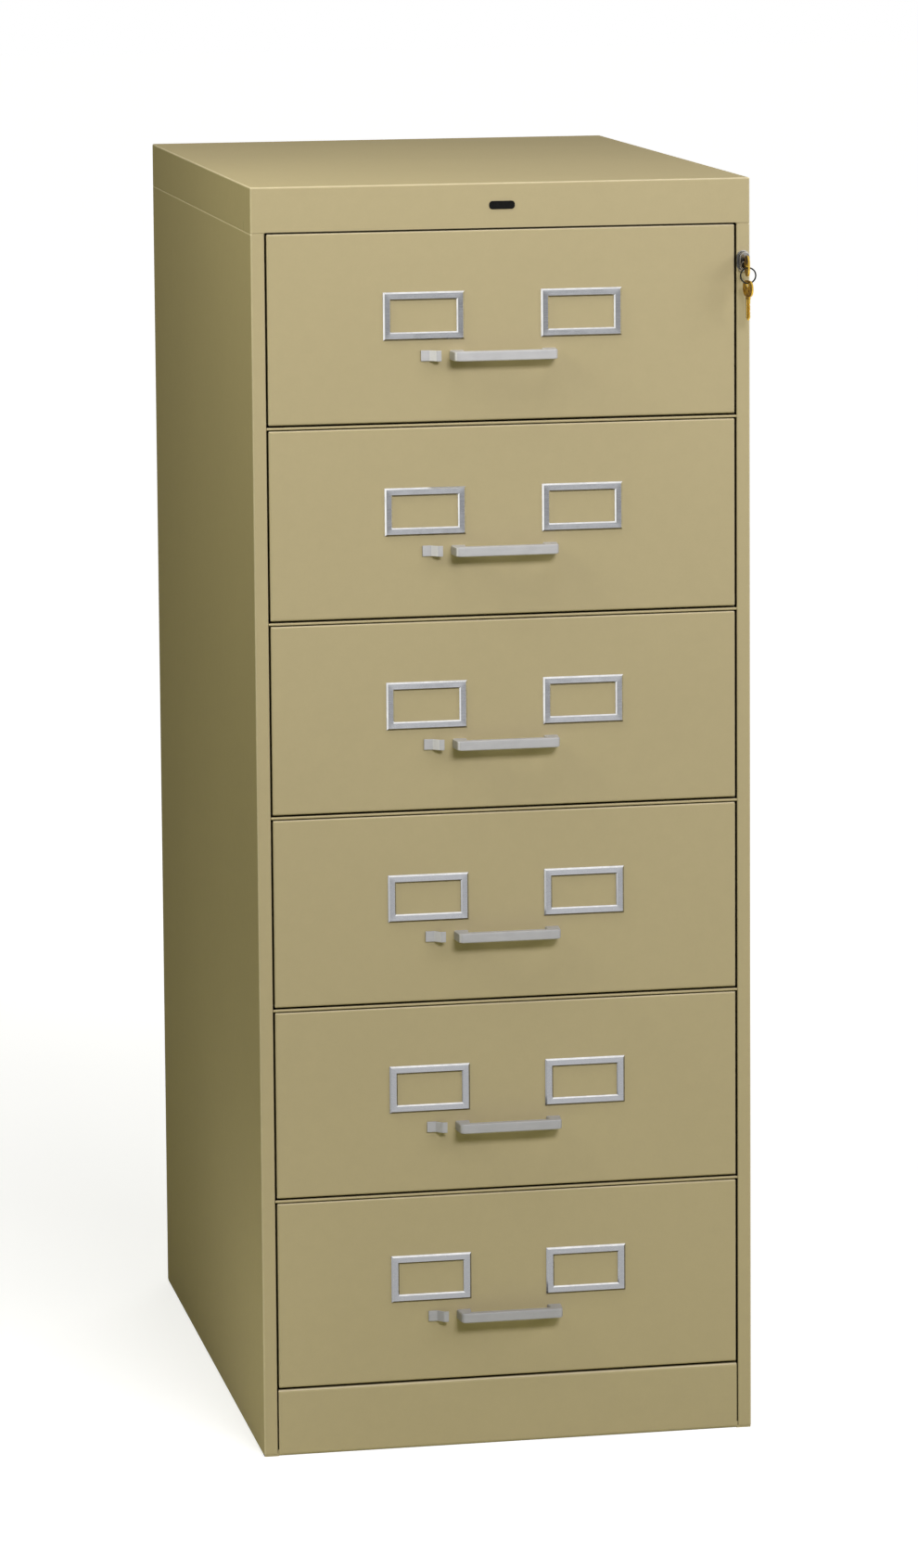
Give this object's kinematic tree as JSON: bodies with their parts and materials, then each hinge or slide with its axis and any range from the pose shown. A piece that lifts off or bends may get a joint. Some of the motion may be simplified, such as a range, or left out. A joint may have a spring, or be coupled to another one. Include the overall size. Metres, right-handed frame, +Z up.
{
  "type": "card index cabinet",
  "caption": "Tall steel card index cabinet with stacked drawers on telescoping slides, label holders, pull handles, thumb latches and a plunger lock with its keys.",
  "frame": {"origin": "centre of the case's footprint, on the floor, at the middle of the floor pan's underside", "axes": "+X to the right as seen from the front, +Y to the back, +Z up"},
  "size_m": [0.5216, 0.7571, 1.321],
  "materials": {
    "tan_paint": "smooth tan enamel",
    "satin_metal": "satin nickel look",
    "zinc_plate": "zinc plated",
    "lock_chrome": "nickel plated",
    "key_brass": "worn brass",
    "ring_steel": "steel wire"
  },
  "bodies": {
    "case": {"case_shell": "tan_paint", "top_cap": "tan_paint", "base_pan": "tan_paint", "drawer_rails": "tan_paint", "slide_uprights": "zinc_plate", "case_slides": "zinc_plate"},
    "drawer_1": {"drawer_1_front": "tan_paint", "drawer_1_tray": "tan_paint", "drawer_1_handle": "satin_metal", "drawer_1_label_holders": "satin_metal"},
    "drawer_1_thumb_latch": {"drawer_1_thumb_latch": "satin_metal"},
    "drawer_1_mid_slides": {"drawer_1_mid_slides": "zinc_plate"},
    "drawer_1_follower_left": {"drawer_1_follower_left": "zinc_plate"},
    "drawer_1_follower_right": {"drawer_1_follower_right": "zinc_plate"},
    "drawer_2": {"drawer_2_front": "tan_paint", "drawer_2_tray": "tan_paint", "drawer_2_handle": "satin_metal", "drawer_2_label_holders": "satin_metal"},
    "drawer_2_thumb_latch": {"drawer_2_thumb_latch": "satin_metal"},
    "drawer_2_mid_slides": {"drawer_2_mid_slides": "zinc_plate"},
    "drawer_2_follower_left": {"drawer_2_follower_left": "zinc_plate"},
    "drawer_2_follower_right": {"drawer_2_follower_right": "zinc_plate"},
    "drawer_3": {"drawer_3_front": "tan_paint", "drawer_3_tray": "tan_paint", "drawer_3_handle": "satin_metal", "drawer_3_label_holders": "satin_metal"},
    "drawer_3_thumb_latch": {"drawer_3_thumb_latch": "satin_metal"},
    "drawer_3_mid_slides": {"drawer_3_mid_slides": "zinc_plate"},
    "drawer_3_follower_left": {"drawer_3_follower_left": "zinc_plate"},
    "drawer_3_follower_right": {"drawer_3_follower_right": "zinc_plate"},
    "drawer_4": {"drawer_4_front": "tan_paint", "drawer_4_tray": "tan_paint", "drawer_4_handle": "satin_metal", "drawer_4_label_holders": "satin_metal"},
    "drawer_4_thumb_latch": {"drawer_4_thumb_latch": "satin_metal"},
    "drawer_4_mid_slides": {"drawer_4_mid_slides": "zinc_plate"},
    "drawer_4_follower_left": {"drawer_4_follower_left": "zinc_plate"},
    "drawer_4_follower_right": {"drawer_4_follower_right": "zinc_plate"},
    "drawer_5": {"drawer_5_front": "tan_paint", "drawer_5_tray": "tan_paint", "drawer_5_handle": "satin_metal", "drawer_5_label_holders": "satin_metal"},
    "drawer_5_thumb_latch": {"drawer_5_thumb_latch": "satin_metal"},
    "drawer_5_mid_slides": {"drawer_5_mid_slides": "zinc_plate"},
    "drawer_5_follower_left": {"drawer_5_follower_left": "zinc_plate"},
    "drawer_5_follower_right": {"drawer_5_follower_right": "zinc_plate"},
    "drawer_6": {"drawer_6_front": "tan_paint", "drawer_6_tray": "tan_paint", "drawer_6_handle": "satin_metal", "drawer_6_label_holders": "satin_metal"},
    "drawer_6_thumb_latch": {"drawer_6_thumb_latch": "satin_metal"},
    "drawer_6_mid_slides": {"drawer_6_mid_slides": "zinc_plate"},
    "drawer_6_follower_left": {"drawer_6_follower_left": "zinc_plate"},
    "drawer_6_follower_right": {"drawer_6_follower_right": "zinc_plate"},
    "lock_barrel": {"lock_barrel": "lock_chrome"},
    "lock_plug": {"lock_plug": "lock_chrome"},
    "lock_bar": {"lock_bar": "zinc_plate"},
    "key": {"key": "key_brass"},
    "key_ring": {"key_ring": "ring_steel"},
    "spare_key": {"spare_key": "key_brass"}
  },
  "joints": [
    {"name": "drawer_1_slide", "type": "slide", "parent": "case", "child": "drawer_1", "axis": [0, -1, 0], "range_m": [0, 0.61]},
    {"name": "drawer_1_mid_slide", "type": "slide", "parent": "case", "child": "drawer_1_mid_slides", "axis": [0, -1, 0], "range_m": [0, 0.305]},
    {"name": "drawer_1_latch_push", "type": "slide", "parent": "drawer_1", "child": "drawer_1_thumb_latch", "axis": [1, 0, 0], "range_m": [0, 0.007], "stiffness_N_per_m": 300, "springref_m": -0.003},
    {"name": "drawer_1_follower_left_slide", "type": "slide", "parent": "drawer_1", "child": "drawer_1_follower_left", "axis": [0, -1, 0], "range_m": [0, 0.5]},
    {"name": "drawer_1_follower_right_slide", "type": "slide", "parent": "drawer_1", "child": "drawer_1_follower_right", "axis": [0, -1, 0], "range_m": [0, 0.5]},
    {"name": "drawer_2_slide", "type": "slide", "parent": "case", "child": "drawer_2", "axis": [0, -1, 0], "range_m": [0, 0.61]},
    {"name": "drawer_2_mid_slide", "type": "slide", "parent": "case", "child": "drawer_2_mid_slides", "axis": [0, -1, 0], "range_m": [0, 0.305]},
    {"name": "drawer_2_latch_push", "type": "slide", "parent": "drawer_2", "child": "drawer_2_thumb_latch", "axis": [1, 0, 0], "range_m": [0, 0.007], "stiffness_N_per_m": 300, "springref_m": -0.003},
    {"name": "drawer_2_follower_left_slide", "type": "slide", "parent": "drawer_2", "child": "drawer_2_follower_left", "axis": [0, -1, 0], "range_m": [0, 0.5]},
    {"name": "drawer_2_follower_right_slide", "type": "slide", "parent": "drawer_2", "child": "drawer_2_follower_right", "axis": [0, -1, 0], "range_m": [0, 0.5]},
    {"name": "drawer_3_slide", "type": "slide", "parent": "case", "child": "drawer_3", "axis": [0, -1, 0], "range_m": [0, 0.61]},
    {"name": "drawer_3_mid_slide", "type": "slide", "parent": "case", "child": "drawer_3_mid_slides", "axis": [0, -1, 0], "range_m": [0, 0.305]},
    {"name": "drawer_3_latch_push", "type": "slide", "parent": "drawer_3", "child": "drawer_3_thumb_latch", "axis": [1, 0, 0], "range_m": [0, 0.007], "stiffness_N_per_m": 300, "springref_m": -0.003},
    {"name": "drawer_3_follower_left_slide", "type": "slide", "parent": "drawer_3", "child": "drawer_3_follower_left", "axis": [0, -1, 0], "range_m": [0, 0.5]},
    {"name": "drawer_3_follower_right_slide", "type": "slide", "parent": "drawer_3", "child": "drawer_3_follower_right", "axis": [0, -1, 0], "range_m": [0, 0.5]},
    {"name": "drawer_4_slide", "type": "slide", "parent": "case", "child": "drawer_4", "axis": [0, -1, 0], "range_m": [0, 0.61]},
    {"name": "drawer_4_mid_slide", "type": "slide", "parent": "case", "child": "drawer_4_mid_slides", "axis": [0, -1, 0], "range_m": [0, 0.305]},
    {"name": "drawer_4_latch_push", "type": "slide", "parent": "drawer_4", "child": "drawer_4_thumb_latch", "axis": [1, 0, 0], "range_m": [0, 0.007], "stiffness_N_per_m": 300, "springref_m": -0.003},
    {"name": "drawer_4_follower_left_slide", "type": "slide", "parent": "drawer_4", "child": "drawer_4_follower_left", "axis": [0, -1, 0], "range_m": [0, 0.5]},
    {"name": "drawer_4_follower_right_slide", "type": "slide", "parent": "drawer_4", "child": "drawer_4_follower_right", "axis": [0, -1, 0], "range_m": [0, 0.5]},
    {"name": "drawer_5_slide", "type": "slide", "parent": "case", "child": "drawer_5", "axis": [0, -1, 0], "range_m": [0, 0.61]},
    {"name": "drawer_5_mid_slide", "type": "slide", "parent": "case", "child": "drawer_5_mid_slides", "axis": [0, -1, 0], "range_m": [0, 0.305]},
    {"name": "drawer_5_latch_push", "type": "slide", "parent": "drawer_5", "child": "drawer_5_thumb_latch", "axis": [1, 0, 0], "range_m": [0, 0.007], "stiffness_N_per_m": 300, "springref_m": -0.003},
    {"name": "drawer_5_follower_left_slide", "type": "slide", "parent": "drawer_5", "child": "drawer_5_follower_left", "axis": [0, -1, 0], "range_m": [0, 0.5]},
    {"name": "drawer_5_follower_right_slide", "type": "slide", "parent": "drawer_5", "child": "drawer_5_follower_right", "axis": [0, -1, 0], "range_m": [0, 0.5]},
    {"name": "drawer_6_slide", "type": "slide", "parent": "case", "child": "drawer_6", "axis": [0, -1, 0], "range_m": [0, 0.61]},
    {"name": "drawer_6_mid_slide", "type": "slide", "parent": "case", "child": "drawer_6_mid_slides", "axis": [0, -1, 0], "range_m": [0, 0.305]},
    {"name": "drawer_6_latch_push", "type": "slide", "parent": "drawer_6", "child": "drawer_6_thumb_latch", "axis": [1, 0, 0], "range_m": [0, 0.007], "stiffness_N_per_m": 300, "springref_m": -0.003},
    {"name": "drawer_6_follower_left_slide", "type": "slide", "parent": "drawer_6", "child": "drawer_6_follower_left", "axis": [0, -1, 0], "range_m": [0, 0.5]},
    {"name": "drawer_6_follower_right_slide", "type": "slide", "parent": "drawer_6", "child": "drawer_6_follower_right", "axis": [0, -1, 0], "range_m": [0, 0.5]},
    {"name": "lock_push", "type": "slide", "parent": "case", "child": "lock_barrel", "axis": [0, 1, 0], "range_m": [0, 0.006], "stiffness_N_per_m": 2000, "springref_m": -0.006},
    {"name": "lock_bar_drop", "type": "slide", "parent": "case", "child": "lock_bar", "axis": [0, 0, -1], "range_m": [0, 0.006]},
    {"name": "key_turn", "type": "hinge", "parent": "lock_barrel", "child": "lock_plug", "pos_m": [0.25275, -0.369, 1.231], "axis": [0, -1, 0], "range_deg": [0, 90]},
    {"name": "key_pull", "type": "slide", "parent": "lock_plug", "child": "key", "axis": [0, -1, 0], "range_m": [0, 0.026]},
    {"name": "ring_swing", "type": "hinge", "parent": "key", "child": "key_ring", "pos_m": [0.25275, -0.3841, 1.231], "axis": [-1, 0, 0], "range_deg": [-4, 35]},
    {"name": "spare_key_swing", "type": "hinge", "parent": "key_ring", "child": "spare_key", "pos_m": [0.25275, -0.3841, 1.212], "axis": [-0.9781, -0.2079, 0], "range_deg": [-8, 25]}
  ],
  "couplings": [
    {"joint": "drawer_1_mid_slide", "follows": "drawer_1_slide", "ratio": 0.5},
    {"joint": "drawer_2_mid_slide", "follows": "drawer_2_slide", "ratio": 0.5},
    {"joint": "drawer_3_mid_slide", "follows": "drawer_3_slide", "ratio": 0.5},
    {"joint": "drawer_4_mid_slide", "follows": "drawer_4_slide", "ratio": 0.5},
    {"joint": "drawer_5_mid_slide", "follows": "drawer_5_slide", "ratio": 0.5},
    {"joint": "drawer_6_mid_slide", "follows": "drawer_6_slide", "ratio": 0.5},
    {"joint": "lock_bar_drop", "follows": "lock_push", "ratio": 1}
  ]
}
